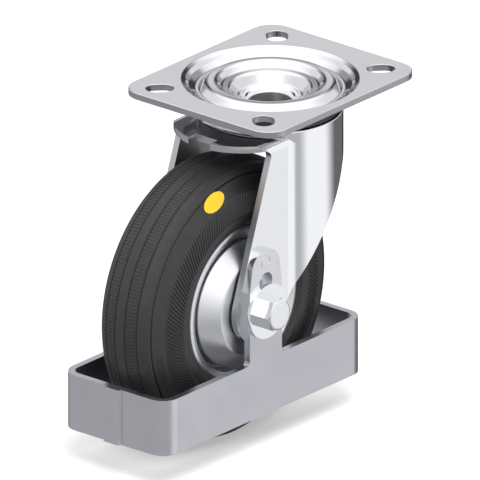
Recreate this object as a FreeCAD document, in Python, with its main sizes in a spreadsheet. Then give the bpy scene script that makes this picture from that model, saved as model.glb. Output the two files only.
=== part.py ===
import FreeCAD, Part
import math
import os

import Sketcher

# Swivel castor with a pressed top plate, a double ball race, a deep drawn fork, a rubber tyred wheel
# on ball bearings and a bent steel foot guard. Origin at the centre of the top plate's upper face,
# +Z up, the wheel trails towards -X and turns about an axle along Y. All lengths in millimetres.

SIZES = {
    # Top plate
    "plate_length": 100.0,
    "plate_width": 85.0,
    "plate_thickness": 3.0,
    "plate_corner": 10.0,
    "bolt_pitch_length": 80.0,
    "bolt_edge_width": 12.5,
    "slot_width": 9.0,
    "slot_travel": 3.0,
    # Pressed recess in the plate: rim, valley, crest over the upper balls and central well
    "recess_margin": 4.5,
    "valley_radius": 31.6,
    "valley_depth": 4.0,
    "crest_radius": 23.0,
    "crest_depth": 0.7,
    "well_edge_radius": 18.3,
    "well_edge_depth": 3.6,
    "well_radius": 14.2,
    "well_depth": 8.4,
    "press_radius": 2.0,
    # Hollow king rivet
    "rivet_radius": 11.5,
    "rivet_bore_radius": 9.3,
    "rivet_head_radius": 13.2,
    "rivet_head_thickness": 1.2,
    "rivet_flare_radius": 11.0,
    "rivet_flare_depth": 2.7,
    "rivet_foot_radius": 14.8,
    "rivet_foot_thickness": 1.6,
    # Dust ring under the plate
    "dust_ring_radius": 30.6,
    "dust_ring_wall": 1.5,
    "dust_ring_gap": 0.7,
    "dust_ring_inner_radius": 27.4,
    # Ball races
    "upper_ball_radius": 3.0,
    "upper_ball_count": 22,
    "lower_ball_radius": 2.5,
    "lower_ball_count": 22,
    "lower_pitch_radius": 20.5,
    "race_clearance": 0.3,
    "race_land": 4.2,
    "lower_cup_radius": 26.0,
    "lower_cup_thickness": 2.5,
    "lower_cup_lip": 2.2,
    "fit_clearance": 0.03,
    # Fork, one piece drawn from sheet
    "fork_thickness": 3.0,
    "fork_inner_width": 46.5,
    "deck_depth": 14.0,
    "head_radius": 31.3,
    "deck_bend_radius": 4.5,
    "head_blend": 9.0,
    "head_rise": 1.2,
    "head_edge_radius": 0.5,
    "head_foot_width": 2.5,
    "king_hole_radius": 17.5,
    "tongue_radius": 29.8,
    "tongue_centre": -18.0,
    "notch_width": 12.0,
    "notch_depth": 5.7,
    "leg_end_radius": 15.5,
    "leg_back_top_x": -30.6,
    "leg_back_top_z": -20.0,
    "front_cut_x": 16.0,
    "front_cut_z": -36.5,
    "front_lip_z": -20.0,
    "leg_notch_radius": 3.0,
    # Wheel place and tyre
    "wheel_offset": 38.0,
    "castor_height": 150.0,
    "wheel_top_gap": 25.0,
    "tyre_width": 37.5,
    "tread_edge": 11.4,
    "tread_drop": 2.2,
    "shoulder_drop": 3.9,
    "shoulder_half_width": 12.9,
    "tyre_bead_radius": 37.6,
    "bead_rounding": 2.0,
    "bead_bulge": 0.6,
    "bead_step": 0.4,
    "tyre_waist_drop": 2.55,
    "tyre_waist_half_width": 17.2,
    "inner_groove_place": 2.7,
    "outer_groove_place": 8.4,
    "tread_groove_width": 0.9,
    "tread_groove_depth": 0.6,
    "side_groove_drop": 5.3,
    # Rim halves
    "rim_seat_radius": 33.6,
    "rim_sheet": 2.2,
    "rim_lip_radius": 36.0,
    "rim_lip_place": 17.2,
    "rim_lip_fall": 1.9,
    "rim_groove_outer": 30.5,
    "rim_groove_inner": 28.2,
    "rim_groove_floor": 12.6,
    "rim_groove_slope": 0.4,
    "hub_shoulder_radius": 21.0,
    "hub_gap": 0.85,
    # Hub tube, bearings and axle
    "hub_tube_radius": 17.0,
    "bearing_radius": 14.0,
    "bearing_bore_radius": 6.0,
    "bearing_width": 8.0,
    "bearing_recess": 1.0,
    "bearing_inner_land": 8.4,
    "bearing_outer_land": 11.6,
    "bearing_ball_radius": 2.38,
    "bearing_ball_count": 8,
    "bearing_race_clearance": 0.12,
    "hub_stop_radius": 12.5,
    "shield_thickness": 0.4,
    "shield_clearance": 0.3,
    "shield_inset": 0.2,
    "spacer_radius": 9.0,
    "sleeve_radius": 7.4,
    "bolt_radius": 4.0,
    "bolt_hole_clearance": 0.2,
    "head_across_flats": 13.0,
    "head_height": 6.5,
    "bevel_inset": 0.4,
    "bevel_reach": 3.0,
    "bevel_depth": 2.0,
    "nut_height": 8.0,
    "bolt_end_stand": 1.5,
    "washer_radius": 12.2,
    "washer_thickness": 1.6,
    # Foot guard, bent flat bar with two upright lugs
    "guard_margin": 4.0,
    "guard_thickness": 3.0,
    "guard_height": 25.3,
    "guard_floor_gap": 14.7,
    "guard_corner": 8.0,
    "seam_width": 9.5,
    "seam_height": 1.5,
    "lug_width": 21.3,
    "lug_shift": 0.25,
    "lug_shoulder_rise": 10.5,
    "lug_top_rise": 27.5,
    "lug_top_radius": 8.0,
    "lug_foot_radius": 2.0,
    "lug_hole_radius": 4.25,
    "lug_hole_rise": 13.1,
    # Oval marker on the tyre
    "dot_length": 12.8,
    "dot_height": 7.4,
    "dot_thickness": 0.3,
    "dot_clearance": 0.12,
    "dot_drop": 8.5,
    "dot_angle": 108.5,
    # How far a cut runs past the metal it takes away
    "cut_margin": 1.0,
    "cut_beyond": 50.0,
}

# Sizes that follow from the others
RULES = {
    "bolt_pitch_width": "=plate_width - 2 * bolt_edge_width",
    "recess_radius": "=plate_width / 2 - recess_margin",
    "wheel_radius": "=(castor_height - wheel_top_gap) / 2",
    "tyre_waist_radius": "=(wheel_radius + tyre_bead_radius) / 2 - tyre_waist_drop",
    "side_groove_radius": "=wheel_radius - side_groove_drop",
    "dot_place_radius": "=wheel_radius - dot_drop",
    "hub_face": "=fork_inner_width / 2 - hub_gap",
}

doc = FreeCAD.newDocument("SwivelCastor")
sheet = doc.addObject("Spreadsheet::Sheet", "Sizes")
for row, (alias, number) in enumerate({**SIZES, **RULES}.items(), start=1):
    sheet.set("A%d" % row, alias)
    sheet.set("B%d" % row, str(number))
    sheet.setAlias("B%d" % row, alias)
doc.recompute()


def size(alias):
    """Value of one cell of the sheet."""
    return float(sheet.get(alias))


pieces = []


# Section of the plate's pressed recess, as (radius, height) from the rim in to the rivet
def recess_top():
    return [
        FreeCAD.Vector(size("recess_radius") + size("press_radius"), 0, 0),
        FreeCAD.Vector(size("recess_radius"), 0, 0),
        FreeCAD.Vector(size("valley_radius"), -size("valley_depth"), 0),
        FreeCAD.Vector(size("crest_radius"), -size("crest_depth"), 0),
        FreeCAD.Vector(size("well_edge_radius"), -size("well_edge_depth"), 0),
        FreeCAD.Vector(size("well_radius"), -size("well_depth"), 0),
        FreeCAD.Vector(size("rivet_radius") + size("fit_clearance"), -size("well_depth"), 0),
    ]


def sheet_offset(points, thickness):
    """The same polyline moved by the sheet thickness to its lower side."""
    moved = []
    for i, point in enumerate(points):
        before = points[max(i - 1, 0)]
        after = points[min(i + 1, len(points) - 1)]
        first = (point - before) if i > 0 else (after - point)
        second = (after - point) if i < len(points) - 1 else first
        one = FreeCAD.Vector(-first.y, first.x, 0).normalize()
        two = FreeCAD.Vector(-second.y, second.x, 0).normalize()
        bisector = (one + two).normalize()
        moved.append(point + bisector * (thickness / bisector.dot(one)))
    return moved


def under_flank(radius):
    """Height of the sheet's underside on the outer flank of the crest."""
    under = sheet_offset(recess_top(), size("plate_thickness"))
    share = (radius - under[2].x) / (under[3].x - under[2].x)
    return under[2].y + share * (under[3].y - under[2].y)


def ball_under_crest():
    """Centre of an upper ball that lies just clear of both flanks under the recess's crest."""
    top = recess_top()
    crest = sheet_offset(top, size("plate_thickness"))[3]
    inward = top[3] - top[4]
    slope = math.atan2(inward.y, inward.x)
    reach = (size("upper_ball_radius") + size("race_clearance")) / math.cos(slope)
    return crest - FreeCAD.Vector(0, reach, 0)


# Places that several pieces share
wheel_x = -size("wheel_offset")
wheel_z = size("wheel_radius") - size("castor_height")
leg_inner_y = size("fork_inner_width") / 2
leg_outer_y = leg_inner_y + size("fork_thickness")
lug_outer_y = leg_outer_y + size("guard_thickness")
lug_x = wheel_x + size("lug_shift")
lug_top_z = wheel_z + size("lug_top_rise")
deck_top = -size("deck_depth")
deck_under = deck_top - size("fork_thickness")
head_top = deck_top + size("head_rise")
guard_bottom = size("guard_floor_gap") - size("castor_height")
guard_top = guard_bottom + size("guard_height")

upper_ball_place = ball_under_crest()
fork_race_top = upper_ball_place.y - size("upper_ball_radius") - size("race_clearance")
fork_race_under = fork_race_top - size("fork_thickness")
lower_ball_z = fork_race_under - size("race_clearance") - size("lower_ball_radius")
lower_cup_top = lower_ball_z - size("lower_ball_radius") - size("race_clearance")
lower_cup_under = lower_cup_top - size("lower_cup_thickness")
bearing_outer_face = size("hub_face") - size("bearing_recess")
bearing_inner_face = bearing_outer_face - size("bearing_width")

FAR = FreeCAD.Placement(FreeCAD.Vector(wheel_x, 0, wheel_z), FreeCAD.Rotation(FreeCAD.Vector(1, 0, 0), -90))
NEAR = FreeCAD.Placement(FreeCAD.Vector(wheel_x, 0, wheel_z), FreeCAD.Rotation(FreeCAD.Vector(1, 0, 0), 90))


# Helpers for sketches and features
def new_body(label, placement=None):
    body = doc.addObject("PartDesign::Body", label)
    body.Label = label
    body.AllowCompound = True
    if placement is not None:
        body.Placement = placement
    pieces.append(body)
    return body


def new_sketch(body, plane, name, offset=0.0):
    sketch = body.newObject("Sketcher::SketchObject", name)
    origin = [f for f in body.Origin.OriginFeatures if f.Role == plane][0]
    sketch.AttachmentSupport = [(origin, "")]
    sketch.MapMode = "FlatFace"
    sketch.AttachmentOffset = FreeCAD.Placement(FreeCAD.Vector(0, 0, offset), FreeCAD.Rotation())
    return sketch


def rounded(before, corner, after, radius):
    """Start, middle and end of the arc that rounds a corner between two straight runs."""
    one = (before - corner).normalize()
    two = (after - corner).normalize()
    half = one.getAngle(two) / 2
    reach = radius / math.tan(half)
    centre = corner + (one + two).normalize() * (radius / math.sin(half))
    middle = centre + (corner - centre).normalize() * radius
    return corner + one * reach, middle, corner + two * reach


def outline(sketch, corners):
    """Closed outline. A corner is (x, y), (x, y, radius alias) or (x, y, (via_x, via_y)), where the
    last is reached by an arc through the given point."""
    points = [FreeCAD.Vector(c[0], c[1], 0) for c in corners]
    count = len(corners)
    ends = []
    for i, corner in enumerate(corners):
        if len(corner) > 2 and isinstance(corner[2], str):
            radius = size(corner[2])
            ends.append(rounded(points[i - 1], points[i], points[(i + 1) % count], radius))
        else:
            ends.append((points[i], None, points[i]))
    first = sketch.GeometryCount
    radii = []
    for i, corner in enumerate(corners):
        start = ends[i - 1][2]
        arrive = ends[i][0]
        if len(corner) > 2 and not isinstance(corner[2], str):
            via = FreeCAD.Vector(corner[2][0], corner[2][1], 0)
            sketch.addGeometry(Part.Arc(start, via, arrive), False)
        elif start.distanceToPoint(arrive) > 1e-6:
            sketch.addGeometry(Part.LineSegment(start, arrive), False)
        if ends[i][1] is not None:
            index = sketch.addGeometry(Part.Arc(*ends[i]), False)
            radii.append((index, corner[2]))
    for index, alias in radii:
        rule = sketch.addConstraint(Sketcher.Constraint("Radius", index, size(alias)))
        sketch.setExpression("Constraints[%d]" % rule, "Sizes." + alias)
    last = sketch.GeometryCount
    pairs = [(i, i + 1) for i in range(first, last - 1)] + [(last - 1, first)]
    for this, following in pairs:
        join_ends(sketch, this, following)


def join_ends(sketch, this, following):
    """Tie the end of one piece of an outline to the start of the next, whichever way each arc runs."""
    for i in (1, 2):
        for j in (1, 2):
            if sketch.getPoint(this, i).distanceToPoint(sketch.getPoint(following, j)) < 1e-6:
                sketch.addConstraint(Sketcher.Constraint("Coincident", this, i, following, j))
                return


def circle(sketch, radius_rule, x=0.0, y=0.0):
    """Circle whose radius follows an expression of the sheet."""
    radius = float(sketch.evalExpression(radius_rule))
    index = sketch.addGeometry(Part.Circle(FreeCAD.Vector(x, y, 0), FreeCAD.Vector(0, 0, 1), radius), False)
    rule = sketch.addConstraint(Sketcher.Constraint("Radius", index, radius))
    sketch.setExpression("Constraints[%d]" % rule, radius_rule)
    return index


def pad(body, sketch, length_rule, reverse=False, middle=False):
    feature = body.newObject("PartDesign::Pad", "Pad")
    feature.Profile = (sketch, [""])
    feature.Reversed = reverse
    feature.Midplane = middle
    feature.setExpression("Length", length_rule)
    sketch.Visibility = False
    doc.recompute()
    return feature


def pocket_through(body, sketch):
    feature = body.newObject("PartDesign::Pocket", "Pocket")
    feature.Profile = (sketch, [""])
    feature.Midplane = True
    feature.Type = "ThroughAll"
    doc.recompute()
    return feature


def pocket_middle(body, sketch, length_rule):
    feature = body.newObject("PartDesign::Pocket", "Pocket")
    feature.Profile = (sketch, [""])
    feature.Midplane = True
    feature.setExpression("Length", length_rule)
    doc.recompute()
    return feature


def turn(body, sketch, kind="Revolution"):
    feature = body.newObject("PartDesign::" + kind, kind)
    feature.Profile = (sketch, [""])
    feature.ReferenceAxis = (sketch, ["V_Axis"])
    feature.Angle = 360.0
    doc.recompute()
    return feature


def part_turn(body, sketch, angle):
    """Revolution over part of a circle, to both sides of the sketch."""
    feature = turn(body, sketch)
    feature.Midplane = True
    feature.Angle = angle
    doc.recompute()
    return feature


def turned(label, section, placement=None):
    """Body turned about its own Z axis from a half section of (radius, height) corners."""
    body = new_body(label, placement)
    sketch = new_sketch(body, "XZ_Plane", label + "_section")
    outline(sketch, section)
    turn(body, sketch)
    return body


def ring(label, outer_rule, inner_rule, height_rule, start, placement=None):
    """Flat ring about its own Z axis."""
    body = new_body(label, placement)
    sketch = new_sketch(body, "XY_Plane", label + "_outline", start)
    circle(sketch, outer_rule)
    circle(sketch, inner_rule)
    pad(body, sketch, height_rule)
    return body


def ball_ring(label, radius_alias, count_alias, pitch_radius, height, placement=None):
    """Full ring of loose balls round the Z axis."""
    body = new_body(label, placement)
    sketch = new_sketch(body, "XZ_Plane", label + "_section")
    radius = size(radius_alias)
    axis_top = (pitch_radius, height + radius)
    axis_foot = (pitch_radius, height - radius)
    outline(sketch, [axis_foot, axis_top + ((pitch_radius + radius, height),)])
    ball = body.newObject("PartDesign::Revolution", "Ball")
    ball.Profile = (sketch, [""])
    ball.ReferenceAxis = (sketch, ["Edge1"])
    ball.Angle = 360.0
    doc.recompute()
    pattern = body.newObject("PartDesign::PolarPattern", "Balls")
    pattern.Originals = [ball]
    pattern.Axis = (sketch, ["V_Axis"])
    pattern.Angle = 360.0
    pattern.setExpression("Occurrences", "Sizes." + count_alias)
    body.Tip = pattern
    doc.recompute()
    return body


# Top plate: pressed sheet with a ringed recess that forms the upper race, and four slanting slots
def top_plate():
    body = new_body("top_plate")
    sketch = new_sketch(body, "XY_Plane", "plate_outline")
    half_length = size("plate_length") / 2
    half_width = size("plate_width") / 2
    outline(sketch, [
        (-half_length, -half_width, "plate_corner"),
        (half_length, -half_width, "plate_corner"),
        (half_length, half_width, "plate_corner"),
        (-half_length, half_width, "plate_corner"),
    ])
    circle(sketch, "Sizes.recess_radius + Sizes.press_radius")
    pad(body, sketch, "Sizes.plate_thickness", reverse=True)
    dish = new_sketch(body, "XZ_Plane", "recess_section")
    top = recess_top()
    under = sheet_offset(top, size("plate_thickness"))
    corners = []
    for i, point in enumerate(top + under[::-1]):
        bend = i not in (0, len(top) - 1, len(top), 2 * len(top) - 1)
        corners.append((point.x, point.y, "press_radius") if bend else (point.x, point.y))
    outline(dish, corners)
    turn(body, dish)
    slots = new_sketch(body, "XY_Plane", "slot_outlines")
    reach = size("slot_travel") / math.sqrt(2)
    for side_x in (-1, 1):
        for side_y in (-1, 1):
            outer = FreeCAD.Vector(side_x * size("bolt_pitch_length") / 2,
                                   side_y * size("bolt_pitch_width") / 2, 0)
            inner = outer - FreeCAD.Vector(side_x * reach, side_y * reach, 0)
            slot_outline(slots, outer, inner, size("slot_width") / 2)
    pocket_through(body, slots)
    return body


def slot_outline(sketch, one, two, radius):
    along = (two - one).normalize() * radius
    across = FreeCAD.Vector(-along.y, along.x, 0)
    first = sketch.addGeometry(Part.LineSegment(one + across, two + across), False)
    sketch.addGeometry(Part.Arc(two + across, two + along, two - across), False)
    sketch.addGeometry(Part.LineSegment(two - across, one - across), False)
    sketch.addGeometry(Part.Arc(one - across, one - along, one + across), False)
    for i in range(4):
        join_ends(sketch, first + i, first + (i + 1) % 4)


# King rivet: hollow, its flared head lies in the plate's well and its foot holds the lower cup
def king_rivet():
    head_under = -size("well_depth")
    head_top = head_under + size("rivet_head_thickness")
    foot_top = lower_cup_under
    foot_under = foot_top - size("rivet_foot_thickness")
    return turned("king_rivet", [
        (size("rivet_bore_radius"), foot_under),
        (size("rivet_foot_radius"), foot_under),
        (size("rivet_foot_radius"), foot_top),
        (size("rivet_radius"), foot_top),
        (size("rivet_radius"), head_under),
        (size("rivet_head_radius"), head_under),
        (size("rivet_head_radius"), head_top),
        (size("rivet_flare_radius"), head_top),
        (size("rivet_bore_radius"), head_top - size("rivet_flare_depth")),
    ])


# Dust ring: pressed ring under the plate, its skirt reaches down over the upper ball ring
def dust_ring():
    foot = head_top + size("dust_ring_gap")
    wall = size("dust_ring_wall")
    outer = size("dust_ring_radius")
    skirt = outer - wall
    inner = size("dust_ring_inner_radius")
    return turned("dust_ring", [
        (inner, under_flank(inner) - wall),
        (skirt, under_flank(skirt) - wall),
        (skirt, foot),
        (outer, foot),
        (outer, under_flank(outer)),
        (inner, under_flank(inner)),
    ])


# Lower cup: dished washer on the rivet, the lower balls run on it
def lower_cup():
    bore = size("rivet_radius") + size("fit_clearance")
    rim = size("lower_cup_radius")
    wall = size("lower_cup_thickness")
    return turned("lower_cup", [
        (bore, lower_cup_under),
        (rim, lower_cup_under, "lower_cup_thickness"),
        (rim, lower_cup_top + size("lower_cup_lip")),
        (rim - wall / 2, lower_cup_top + size("lower_cup_lip")),
        (rim - wall / 2, lower_cup_top),
        (bore, lower_cup_top),
    ])


# Fork: one sheet drawn to a round head with a raised ball race, two legs and a notched tongue
def neck_centre():
    """Centre of the concave blend between the fork's head and a leg."""
    centre_y = leg_outer_y + size("head_blend")
    reach = size("head_radius") + size("head_blend")
    return -math.sqrt(reach ** 2 - centre_y ** 2), centre_y


def fork_plan(body):
    """Plan outline of the fork: round head, concave blends, and two parallel legs."""
    sketch = new_sketch(body, "XY_Plane", "plan_outline", deck_top)
    radius = size("head_radius")
    blend = size("head_blend")
    back = wheel_x - 2 * size("leg_end_radius")
    centre_x, centre_y = neck_centre()
    on_head = (centre_x * radius / (radius + blend), centre_y * radius / (radius + blend))
    middle = math.radians(270) + math.atan2(-centre_x, centre_y) / 2
    via = (centre_x + blend * math.cos(middle), centre_y + blend * math.sin(middle))
    outline(sketch, [
        (back, -leg_outer_y),
        (centre_x, -leg_outer_y),
        (on_head[0], -on_head[1], (via[0], -via[1])),
        (on_head[0], on_head[1], (radius, 0)),
        (centre_x, leg_outer_y, via),
        (back, leg_outer_y),
    ])
    return sketch


def fork():
    body = new_body("fork")
    leg_depth = "Sizes.castor_height - Sizes.wheel_radius + 2 * Sizes.leg_end_radius - Sizes.deck_depth"
    pad(body, fork_plan(body), leg_depth, reverse=True)
    bend_deck(body)
    hollow_fork(body)
    race_and_hole(body)
    head_wall(body)
    legs_outline(body)
    tongue_outline(body)
    holes = new_sketch(body, "XZ_Plane", "axle_holes")
    circle(holes, "Sizes.bolt_radius + Sizes.bolt_hole_clearance", wheel_x, wheel_z)
    pocket_through(body, holes)
    return body


def bend_deck(body):
    """Bend all round the deck's edge, apart from its open back."""
    solid = body.Tip
    shape = solid.Shape
    top = [f for f in shape.Faces if abs(f.BoundBox.ZMin - deck_top) < 1e-3][0]
    back = shape.BoundBox.XMin
    rim = []
    for i, edge in enumerate(shape.Edges, start=1):
        on_top = any(edge.isSame(other) for other in top.Edges)
        if on_top and edge.BoundBox.XMax > back + 1e-3:
            rim.append("Edge%d" % i)
    bend = body.newObject("PartDesign::Fillet", "DeckBend")
    bend.Base = (solid, rim)
    bend.setExpression("Radius", "Sizes.deck_bend_radius")
    doc.recompute()


def hollow_fork(body):
    """Open the underside and the back, leaving one sheet thickness."""
    solid = body.Tip
    shape = solid.Shape
    low = shape.BoundBox.ZMin
    back = shape.BoundBox.XMin
    opened = []
    for i, face in enumerate(shape.Faces, start=1):
        box = face.BoundBox
        if abs(box.ZMax - low) < 1e-3 or abs(box.XMax - back) < 1e-3:
            opened.append("Face%d" % i)
    shell = body.newObject("PartDesign::Thickness", "Sheet")
    shell.Base = (solid, opened)
    shell.Reversed = True
    shell.Join = 0
    shell.setExpression("Value", "Sizes.fork_thickness")
    doc.recompute()


def race_and_hole(body):
    """Raised ring that carries both ball rows, with the hole round the king rivet."""
    land = size("race_land")
    outer = size("crest_radius") + land
    foot = outer + size("press_radius")
    hole = size("king_hole_radius")
    margin = size("cut_margin")
    press = size("press_radius")
    cut = new_sketch(body, "XZ_Plane", "race_opening")
    cut_top = deck_top + margin
    cut_under = deck_under - margin
    outline(cut, [(0, cut_top), (foot, cut_top), (foot, cut_under), (0, cut_under)])
    turn(body, cut, "Groove")
    section = new_sketch(body, "XZ_Plane", "race_section")
    outline(section, [
        (hole, fork_race_under),
        (outer - press, fork_race_under, "press_radius"),
        (foot - press, deck_under, "press_radius"),
        (foot + margin, deck_under),
        (size("head_radius"), deck_top),
        (size("head_radius"), head_top, "head_edge_radius"),
        (foot, head_top, "head_edge_radius"),
        (outer, fork_race_top, "head_edge_radius"),
        (hole, fork_race_top),
    ])
    turn(body, section)


def head_wall(body):
    """Carry the head's round wall straight up past the bend, and blend its foot into the tongue."""
    radius = size("head_radius")
    bend = size("deck_bend_radius")
    middle = bend - size("fork_thickness") / 2
    centre_x, centre_y = neck_centre()
    reach = math.hypot(centre_x, centre_y)
    leaves = radius + bend
    beyond = math.acos((leaves ** 2 + reach ** 2 - size("head_blend") ** 2) / (2 * leaves * reach))
    half_angle = math.degrees(math.atan2(centre_y, centre_x) + beyond)
    wall = new_sketch(body, "XZ_Plane", "wall_section")
    low = deck_top - bend
    slant = middle * math.sqrt(0.5)
    top = (deck_top + head_top) / 2
    outline(wall, [
        (radius - bend, low + middle),
        (radius - bend + middle, low, (radius - bend + slant, low + slant)),
        (radius, low),
        (radius, top),
        (radius - bend, top),
    ])
    part_turn(body, wall, 2 * half_angle)
    foot = new_sketch(body, "XZ_Plane", "wall_foot")
    width = size("head_foot_width")
    dip = width * (1 - math.sqrt(0.5))
    rise = size("head_rise") - size("head_edge_radius")
    outline(foot, [
        (-radius, deck_top + rise),
        (-radius - width, deck_top, (-radius - dip, deck_top + rise * (1 - math.sqrt(0.5)))),
        (-radius - width, deck_top - size("cut_margin")),
        (-radius + size("cut_margin"), deck_top - size("cut_margin")),
        (-radius + size("cut_margin"), deck_top + rise),
    ])
    part_turn(body, foot, 360 - 2 * half_angle)


def tangent_point(from_x, from_z, side):
    """Point where a straight edge from the given corner touches the leg's round end."""
    dx = from_x - wheel_x
    dz = from_z - wheel_z
    distance = math.hypot(dx, dz)
    angle = math.atan2(dz, dx) + side * math.acos(size("leg_end_radius") / distance)
    return (wheel_x + size("leg_end_radius") * math.cos(angle),
            wheel_z + size("leg_end_radius") * math.sin(angle))


def legs_outline(body):
    """Side view: cut away what lies behind, below and in front of the two slanting legs."""
    beyond = size("cut_beyond")
    far_back = wheel_x - beyond
    far_front = size("head_radius") + beyond
    far_low = wheel_z - beyond
    back = tangent_point(size("leg_back_top_x"), size("leg_back_top_z"), 1)
    front = tangent_point(size("front_cut_x"), size("front_cut_z"), -1)
    slope = ((size("front_lip_z") - size("front_cut_z")) / (size("head_radius") - size("front_cut_x")))
    lip_z = size("front_lip_z") + slope * beyond
    end_z = wheel_z - size("leg_end_radius")
    cut = new_sketch(body, "XZ_Plane", "leg_cut")
    bottom = (wheel_x, end_z)
    half_back = arc_middle(back, bottom)
    half_front = arc_middle(bottom, front)
    outline(cut, [
        (far_back, deck_under),
        (size("leg_back_top_x"), deck_under, "leg_notch_radius"),
        (size("leg_back_top_x"), size("leg_back_top_z")),
        back,
        bottom + (half_back,),
        front + (half_front,),
        (size("front_cut_x"), size("front_cut_z")),
        (far_front, lip_z),
        (far_front, far_low),
        (far_back, far_low),
    ])
    pocket_through(body, cut)


def arc_middle(one, two):
    """Middle of the leg end's arc between two of its points, on the lower side."""
    centre = FreeCAD.Vector(wheel_x, wheel_z, 0)
    first = FreeCAD.Vector(one[0], one[1], 0) - centre
    second = FreeCAD.Vector(two[0], two[1], 0) - centre
    middle = centre + (first + second).normalize() * size("leg_end_radius")
    return (middle.x, middle.y)


def tongue_outline(body):
    """Plan view: round the back of the deck and notch it."""
    centre = size("tongue_centre")
    radius = size("tongue_radius")
    start_x = centre - math.sqrt(radius ** 2 - leg_outer_y ** 2)
    far_back = centre - radius - size("cut_beyond")
    half = leg_outer_y + size("cut_margin")
    notch = size("notch_width") / 2
    tip_x = centre - math.sqrt(radius ** 2 - notch ** 2)
    floor_x = centre - radius + size("notch_depth")
    mid_y = (leg_outer_y + notch) / 2
    mid_x = centre - math.sqrt(radius ** 2 - mid_y ** 2)
    cut = new_sketch(body, "XY_Plane", "tongue_cut", deck_top)
    outline(cut, [
        (start_x, -leg_outer_y),
        (tip_x, -notch, (mid_x, -mid_y)),
        (floor_x, -notch),
        (floor_x, notch),
        (tip_x, notch),
        (start_x, leg_outer_y, (mid_x, mid_y)),
        (start_x, half),
        (far_back, half),
        (far_back, -half),
        (start_x, -half),
    ])
    pocket_middle(body, cut, "2 * (Sizes.fork_thickness + Sizes.cut_margin)")


# Foot guard: flat bar bent to a closed frame, welded at the back, with a lug on each long side
def foot_guard():
    body = new_body("foot_guard")
    reach = size("wheel_radius") + size("guard_margin")
    front = wheel_x + reach
    rear = wheel_x - reach
    seam = size("seam_width") / 2
    plan = new_sketch(body, "XY_Plane", "frame_outline", guard_bottom)
    outline(plan, [
        (rear, -lug_outer_y, "guard_corner"),
        (front, -lug_outer_y, "guard_corner"),
        (front, lug_outer_y, "guard_corner"),
        (rear, lug_outer_y, "guard_corner"),
        (rear, seam),
        (rear - size("seam_height"), seam - size("seam_height") / 2),
        (rear - size("seam_height"), -seam + size("seam_height") / 2),
        (rear, -seam),
    ])
    pad(body, plan, "Sizes.guard_height")
    lug = new_sketch(body, "XZ_Plane", "lug_outline")
    half = size("lug_width") / 2
    centre = lug_x
    foot = size("lug_foot_radius") * 2
    top_half = size("lug_top_radius")
    shoulder = wheel_z + size("lug_shoulder_rise")
    margin = size("cut_margin")
    outline(lug, [
        (centre - half - foot, guard_bottom + foot),
        (centre - half - foot, guard_top),
        (centre - half, guard_top, "lug_foot_radius"),
        (centre - half, shoulder),
        (centre - top_half, lug_top_z, "lug_top_radius"),
        (centre + top_half, lug_top_z, "lug_top_radius"),
        (centre + half, shoulder),
        (centre + half, guard_top, "lug_foot_radius"),
        (centre + half + foot, guard_top),
        (centre + half + foot, guard_bottom + foot),
    ])
    pad(body, lug, "Sizes.fork_inner_width + 2 * (Sizes.fork_thickness + Sizes.guard_thickness)", middle=True)
    inside = new_sketch(body, "XZ_Plane", "inside_lugs")
    outline(inside, [
        (centre - half - 2 * foot, guard_bottom - margin),
        (centre + half + 2 * foot, guard_bottom - margin),
        (centre + half + 2 * foot, lug_top_z + margin),
        (centre - half - 2 * foot, lug_top_z + margin),
    ])
    pocket_middle(body, inside, "Sizes.fork_inner_width + 2 * Sizes.fork_thickness")
    frame_inside = new_sketch(body, "XY_Plane", "frame_inside", (guard_bottom + guard_top) / 2)
    wall = size("guard_thickness")
    inner = leg_outer_y
    turn_in = size("guard_corner") - wall
    outline_arcs(frame_inside, rear + wall, front - wall, inner, turn_in)
    pocket_middle(body, frame_inside, "Sizes.guard_height + 2 * Sizes.cut_margin")
    holes = new_sketch(body, "XZ_Plane", "lug_holes")
    circle(holes, "Sizes.bolt_radius + Sizes.bolt_hole_clearance", wheel_x, wheel_z)
    circle(holes, "Sizes.lug_hole_radius", centre, wheel_z + size("lug_hole_rise"))
    pocket_through(body, holes)
    return body


def outline_arcs(sketch, rear, front, half, radius):
    """Rectangle with equal rounded corners."""
    diagonal = radius * (1 - math.sqrt(0.5))
    outline(sketch, [
        (rear + radius, -half),
        (front - radius, -half),
        (front, -half + radius, (front - diagonal, -half + diagonal)),
        (front, half - radius),
        (front - radius, half, (front - diagonal, half - diagonal)),
        (rear + radius, half),
        (rear, half - radius, (rear + diagonal, half - diagonal)),
        (rear, -half + radius),
        (rear + radius, -half, (rear + diagonal, -half + diagonal)),
    ])


# Wheel: rubber tyre on two pressed rim halves, hub tube and two ball bearings
def tread_radius(place):
    """Radius of the crowned tread at a distance from the middle plane."""
    edge = size("tread_edge")
    drop = size("tread_drop")
    crown = (edge ** 2 + drop ** 2) / (2 * drop)
    return size("wheel_radius") - crown + math.sqrt(crown ** 2 - place ** 2)


def sidewall_slope():
    """Growth of the half width for each millimetre down the sidewall."""
    run = size("wheel_radius") - size("shoulder_drop") - size("tyre_waist_radius")
    return (size("tyre_waist_half_width") - size("shoulder_half_width")) / run


def sidewall_place(radius):
    """Distance from the middle plane to the sidewall at a radius."""
    shoulder_radius = size("wheel_radius") - size("shoulder_drop")
    return size("shoulder_half_width") + sidewall_slope() * (shoulder_radius - radius)


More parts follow.
